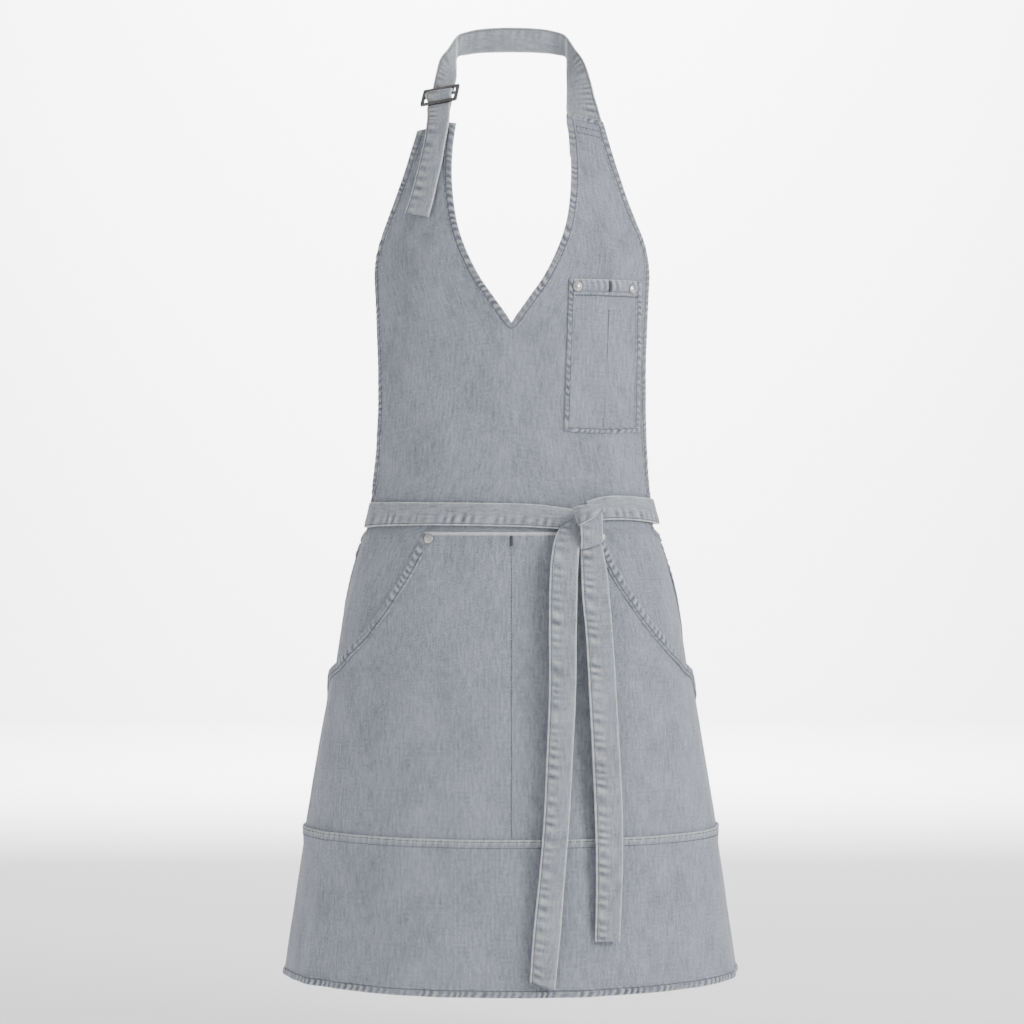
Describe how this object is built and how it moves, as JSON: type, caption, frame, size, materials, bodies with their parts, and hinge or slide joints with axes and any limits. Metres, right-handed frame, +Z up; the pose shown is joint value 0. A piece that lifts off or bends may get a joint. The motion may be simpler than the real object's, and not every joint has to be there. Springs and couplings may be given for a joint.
{
  "type": "bib apron",
  "caption": "Denim bib apron with V neckline, buckled halter strap, chest pocket, curved waist pockets and a wrap-round tie knotted in front.",
  "frame": {"origin": "inner face of the neck strap, at the middle of the back of the neck", "axes": "+Z up, -Y the apron's front, +X the wearer's left"},
  "size_m": [0.4731, 0.2662, 0.9913],
  "materials": {
    "denim": "washed grey twill, matt",
    "denim_lining": "turned-in washed grey twill, matt",
    "denim_tape": "folded and topstitched washed grey twill, matt",
    "gunmetal": "dark gunmetal plate, satin",
    "rivet_metal": "antique nickel, satin",
    "bartack_thread": "dark sewing thread"
  },
  "bodies": {
    "neck": {"neck_strap": "denim_tape", "buckle_tab": "denim_tape"},
    "buckle": {"slide_buckle": "gunmetal"},
    "strap_end": {"strap_tail": "denim_tape"},
    "bib": {"bib_panel": "denim", "armhole_facing_left": "denim_lining", "armhole_facing_right": "denim_lining", "neckline_facing": "denim_lining", "strap_seam_patch": "denim_lining", "chest_pocket": "denim", "waist_tie_left": "denim_tape", "waist_tie_right": "denim_tape", "waist_knot": "denim_tape", "chest_rivet_left_cap": "rivet_metal", "chest_rivet_left_post": "rivet_metal", "chest_rivet_right_cap": "rivet_metal", "chest_rivet_right_post": "rivet_metal", "chest_pocket_bartack": "bartack_thread"},
    "skirt": {"skirt_panel": "denim", "hem_band": "denim", "hem_fold": "denim_lining", "side_hem_left": "denim_lining", "side_hem_right": "denim_lining", "waist_pocket": "denim", "pocket_facing_left": "denim_lining", "pocket_facing_right": "denim_lining", "waist_rivet_left_cap": "rivet_metal", "waist_rivet_left_post": "rivet_metal", "waist_rivet_right_cap": "rivet_metal", "waist_rivet_right_post": "rivet_metal", "waist_pocket_bartack": "bartack_thread"},
    "long_end": {"long_tie_tail": "denim_tape"},
    "short_end": {"short_tie_tail": "denim_tape"}
  },
  "joints": [
    {"name": "bib_swing", "type": "hinge", "parent": "neck", "child": "bib", "pos_m": [0, -0.153, -0.106], "axis": [1, 0, 0], "range_deg": [0, 5]},
    {"name": "skirt_swing", "type": "hinge", "parent": "bib", "child": "skirt", "pos_m": [0, -0.168, -0.517], "axis": [1, 0, 0], "range_deg": [0, 8]},
    {"name": "long_end_swing", "type": "hinge", "parent": "bib", "child": "long_end", "pos_m": [0.0546, -0.179, -0.539], "axis": [-1, 0, 0], "range_deg": [0, 35]},
    {"name": "short_end_swing", "type": "hinge", "parent": "bib", "child": "short_end", "pos_m": [0.082, -0.172, -0.542], "axis": [-1, 0, 0], "range_deg": [0, 35]},
    {"name": "buckle_tilt", "type": "hinge", "parent": "neck", "child": "buckle", "pos_m": [-0.0736, -0.091, -0.0714], "axis": [0.9417, -0.3102, 0.1301], "range_deg": [-8, 8]},
    {"name": "strap_adjust", "type": "slide", "parent": "neck", "child": "strap_end", "axis": [-0.2102, -0.1402, -0.9676], "range_m": [0, 0.03]}
  ]
}
